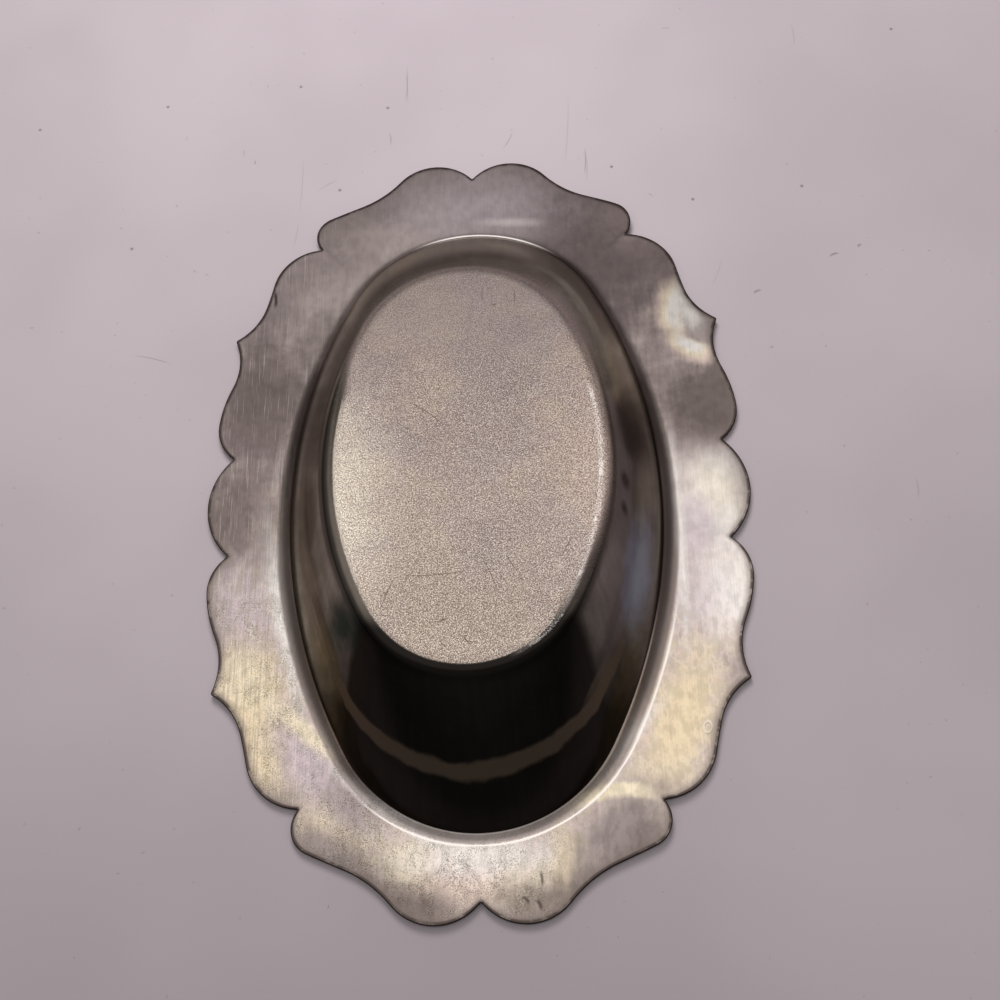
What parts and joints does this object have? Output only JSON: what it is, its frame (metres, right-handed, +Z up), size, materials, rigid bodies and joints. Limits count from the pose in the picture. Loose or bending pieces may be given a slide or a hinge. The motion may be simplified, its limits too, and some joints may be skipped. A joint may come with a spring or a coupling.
{
  "type": "oval dish",
  "caption": "Oval pewter dish with a deep plain bowl, a flat base and a broad flat flange cut in scallops and points, lying upside down.",
  "frame": {"origin": "on the table, under the middle of the flange, in the plane of the flange's face", "axes": "+Z up, out of the underside of the base; +Y along the dish, towards the end with the broader flange; the dish is upside down, as pictured, and is turned over for use"},
  "size_m": [0.128, 0.19, 0.031],
  "materials": {
    "pewter": "worn satin, tarnished on the bowl's wall"
  },
  "bodies": {
    "root": {"dish": "pewter"}
  },
  "joints": []
}
